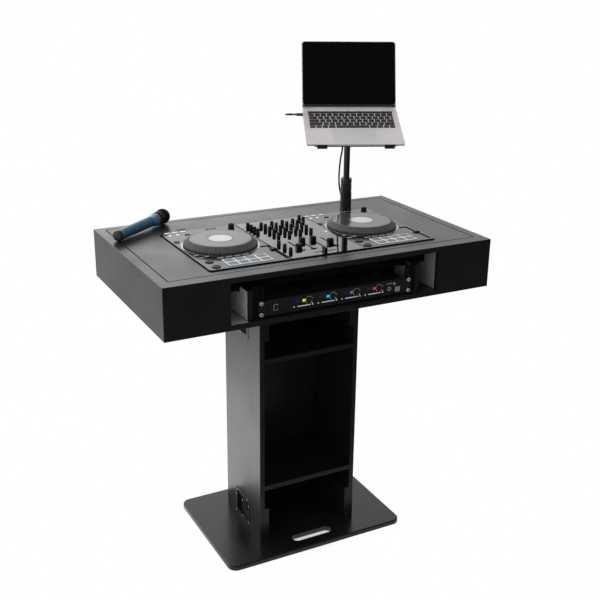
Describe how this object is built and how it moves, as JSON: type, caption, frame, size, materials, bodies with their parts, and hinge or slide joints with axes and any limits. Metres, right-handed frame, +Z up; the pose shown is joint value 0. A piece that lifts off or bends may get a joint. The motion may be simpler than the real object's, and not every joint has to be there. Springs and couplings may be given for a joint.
{
  "type": "dj booth",
  "caption": "Free-standing DJ booth: a box with a rack bay on a shelved column, holding a recessed controller, a wireless receiver, a laptop on a pole and a microphone.",
  "frame": {"origin": "middle of the base plate's underside", "axes": "+Z up, -Y towards the operator, +X to the operator's right"},
  "size_m": [1.02, 0.6654, 1.4761],
  "materials": {
    "board_paint": "satin black paint on 15 mm board",
    "latch_paint": "black coated pressed steel",
    "rack_paint": "black coated steel angle",
    "screw_metal": "bright plated",
    "receiver_paint": "satin black",
    "case_metal": "dark coated sheet steel",
    "knob_plastic": "satin black",
    "controller_plastic": "satin dark grey",
    "jog_plastic": "glossy grey",
    "display_plastic": "white, glossy",
    "button_plastic": "dark translucent",
    "pad_rubber": "matt grey silicone",
    "circuit": "green solder mask",
    "stand_paint": "satin black",
    "clutch_rubber": "matt black",
    "laptop_metal": "fine bead-blasted grey",
    "lead_rubber": "matt black jacket",
    "plug_plastic": "matt black",
    "mic_paint": "metallic blue lacquer",
    "grille_metal": "black coated mesh"
  },
  "bodies": {
    "booth": {"base_plate": "board_paint", "base_upstands": "board_paint", "column_left_side": "board_paint", "column_right_side": "board_paint", "column_back": "board_paint", "column_shelves": "board_paint", "box_upstands": "board_paint", "box_floor": "board_paint", "box_sides": "board_paint", "box_front_panels": "board_paint", "box_back": "board_paint", "top_frame": "board_paint", "top_lid": "board_paint", "box_dividers": "board_paint", "latch_plates": "latch_paint", "rack_rails": "rack_paint", "rack_screws": "screw_metal", "receiver_front": "receiver_paint", "receiver_case": "case_metal", "controller_face": "controller_plastic", "controller_chassis": "controller_plastic", "jog_displays": "display_plastic", "mixer_knobs": "knob_plastic", "performance_pads": "pad_rubber", "circuit_boards": "circuit", "stand_sleeve": "stand_paint"},
    "latch_wing_base_left": {"latch_wing_base_left": "latch_paint"},
    "latch_wing_base_right": {"latch_wing_base_right": "latch_paint"},
    "latch_wing_box_left": {"latch_wing_box_left": "latch_paint"},
    "latch_wing_box_right": {"latch_wing_box_right": "latch_paint"},
    "receiver_knob_1": {"receiver_knob_1": "knob_plastic"},
    "receiver_knob_2": {"receiver_knob_2": "knob_plastic"},
    "receiver_knob_3": {"receiver_knob_3": "knob_plastic"},
    "receiver_knob_4": {"receiver_knob_4": "knob_plastic"},
    "receiver_switch": {"receiver_switch": "knob_plastic"},
    "jog_left": {"jog_left": "jog_plastic"},
    "jog_right": {"jog_right": "jog_plastic"},
    "tempo_fader_left": {"tempo_fader_left": "knob_plastic"},
    "tempo_fader_right": {"tempo_fader_right": "knob_plastic"},
    "channel_fader_1": {"channel_fader_1": "knob_plastic"},
    "channel_fader_2": {"channel_fader_2": "knob_plastic"},
    "channel_fader_3": {"channel_fader_3": "knob_plastic"},
    "channel_fader_4": {"channel_fader_4": "knob_plastic"},
    "crossfader": {"crossfader": "knob_plastic"},
    "browse_knob_left": {"browse_knob_left": "knob_plastic"},
    "browse_knob_right": {"browse_knob_right": "knob_plastic"},
    "cue_button_left": {"cue_button_left": "button_plastic"},
    "cue_button_right": {"cue_button_right": "button_plastic"},
    "play_button_left": {"play_button_left": "button_plastic"},
    "play_button_right": {"play_button_right": "button_plastic"},
    "stand_clutch": {"stand_clutch": "clutch_rubber"},
    "laptop_lid": {"laptop_lid": "laptop_metal"},
    "stand_pole": {"stand_pole": "stand_paint", "cord_lower": "lead_rubber"},
    "laptop_tray": {"laptop_tray": "stand_paint", "laptop_base": "laptop_metal", "cord_plug": "plug_plastic", "cord_upper": "lead_rubber"},
    "microphone": {"mic_body": "mic_paint", "mic_grille": "grille_metal"}
  },
  "joints": [
    {"name": "latch_base_left_turn", "type": "hinge", "parent": "booth", "child": "latch_wing_base_left", "pos_m": [-0.1575, 0.005, 0.071], "axis": [-1, 0, 0], "range_deg": [0, 180]},
    {"name": "latch_base_right_turn", "type": "hinge", "parent": "booth", "child": "latch_wing_base_right", "pos_m": [0.1575, 0.005, 0.071], "axis": [1, 0, 0], "range_deg": [0, 180]},
    {"name": "latch_box_left_turn", "type": "hinge", "parent": "booth", "child": "latch_wing_box_left", "pos_m": [-0.1575, 0.005, 0.708], "axis": [-1, 0, 0], "range_deg": [0, 180]},
    {"name": "latch_box_right_turn", "type": "hinge", "parent": "booth", "child": "latch_wing_box_right", "pos_m": [0.1575, 0.005, 0.708], "axis": [1, 0, 0], "range_deg": [0, 180]},
    {"name": "receiver_volume_1_turn", "type": "hinge", "parent": "booth", "child": "receiver_knob_1", "pos_m": [-0.08899, -0.279, 0.85503], "axis": [0, 1, 0], "range_deg": [-140, 140]},
    {"name": "receiver_volume_2_turn", "type": "hinge", "parent": "booth", "child": "receiver_knob_2", "pos_m": [-0.01438, -0.279, 0.85503], "axis": [0, 1, 0], "range_deg": [-140, 140]},
    {"name": "receiver_volume_3_turn", "type": "hinge", "parent": "booth", "child": "receiver_knob_3", "pos_m": [0.06023, -0.279, 0.85503], "axis": [0, 1, 0], "range_deg": [-140, 140]},
    {"name": "receiver_volume_4_turn", "type": "hinge", "parent": "booth", "child": "receiver_knob_4", "pos_m": [0.13484, -0.279, 0.85503], "axis": [0, 1, 0], "range_deg": [-140, 140]},
    {"name": "receiver_power_rock", "type": "hinge", "parent": "booth", "child": "receiver_switch", "pos_m": [-0.19, -0.273, 0.85052], "axis": [-1, 0, 0], "range_deg": [0, 16]},
    {"name": "jog_left_spin", "type": "hinge", "parent": "booth", "child": "jog_left", "pos_m": [-0.2352, -0.01487, 0.9585], "axis": [0, 0, 1], "continuous": true},
    {"name": "browse_left_turn", "type": "hinge", "parent": "booth", "child": "browse_knob_left", "pos_m": [-0.13709, 0.13336, 0.9585], "axis": [0, 0, 1], "continuous": true},
    {"name": "tempo_left_slide", "type": "slide", "parent": "booth", "child": "tempo_fader_left", "axis": [0, 1, 0], "range_m": [-0.08735, 0.02365]},
    {"name": "cue_left_press", "type": "slide", "parent": "booth", "child": "cue_button_left", "axis": [0, 0, -1], "range_m": [0, 0.0015], "stiffness_N_per_m": 800},
    {"name": "play_left_press", "type": "slide", "parent": "booth", "child": "play_button_left", "axis": [0, 0, -1], "range_m": [0, 0.0015], "stiffness_N_per_m": 800},
    {"name": "jog_right_spin", "type": "hinge", "parent": "booth", "child": "jog_right", "pos_m": [0.23182, -0.01487, 0.9585], "axis": [0, 0, 1], "continuous": true},
    {"name": "browse_right_turn", "type": "hinge", "parent": "booth", "child": "browse_knob_right", "pos_m": [0.32993, 0.13336, 0.9585], "axis": [0, 0, 1], "continuous": true},
    {"name": "tempo_right_slide", "type": "slide", "parent": "booth", "child": "tempo_fader_right", "axis": [0, 1, 0], "range_m": [-0.06542, 0.04558]},
    {"name": "cue_right_press", "type": "slide", "parent": "booth", "child": "cue_button_right", "axis": [0, 0, -1], "range_m": [0, 0.0015], "stiffness_N_per_m": 800},
    {"name": "play_right_press", "type": "slide", "parent": "booth", "child": "play_button_right", "axis": [0, 0, -1], "range_m": [0, 0.0015], "stiffness_N_per_m": 800},
    {"name": "channel_1_slide", "type": "slide", "parent": "booth", "child": "channel_fader_1", "axis": [0, 1, 0], "range_m": [-0.01264, 0.06236]},
    {"name": "channel_2_slide", "type": "slide", "parent": "booth", "child": "channel_fader_2", "axis": [0, 1, 0], "range_m": [-0.06236, 0.01264]},
    {"name": "channel_3_slide", "type": "slide", "parent": "booth", "child": "channel_fader_3", "axis": [0, 1, 0], "range_m": [-0.06236, 0.01264]},
    {"name": "channel_4_slide", "type": "slide", "parent": "booth", "child": "channel_fader_4", "axis": [0, 1, 0], "range_m": [-0.02356, 0.05144]},
    {"name": "crossfader_slide", "type": "slide", "parent": "booth", "child": "crossfader", "axis": [1, 0, 0], "range_m": [-0.0265, 0.0285]},
    {"name": "stand_clutch_twist", "type": "hinge", "parent": "booth", "child": "stand_clutch", "pos_m": [0.3038, 0.2055, 1.0103], "axis": [0, 0, 1], "range_deg": [0, 60]},
    {"name": "stand_pole_slide", "type": "slide", "parent": "booth", "child": "stand_pole", "axis": [0, 0, 1], "range_m": [-0.07, 0.1], "deforming": ["cord_lower"]},
    {"name": "tray_swivel", "type": "hinge", "parent": "stand_pole", "child": "laptop_tray", "pos_m": [0.3038, 0.2055, 1.188], "axis": [0, 0, 1], "range_deg": [-66, 113], "deforming": ["cord_upper"]},
    {"name": "laptop_lid_hinge", "type": "hinge", "parent": "laptop_tray", "child": "laptop_lid", "pos_m": [0.33607, 0.25438, 1.27293], "axis": [-0.9184, 0.3955, 0], "range_deg": [-129, 5]},
    {"name": "microphone_lift", "type": "slide", "parent": "booth", "child": "microphone", "axis": [0, 0, 1], "range_m": [0, 0.25]}
  ]
}
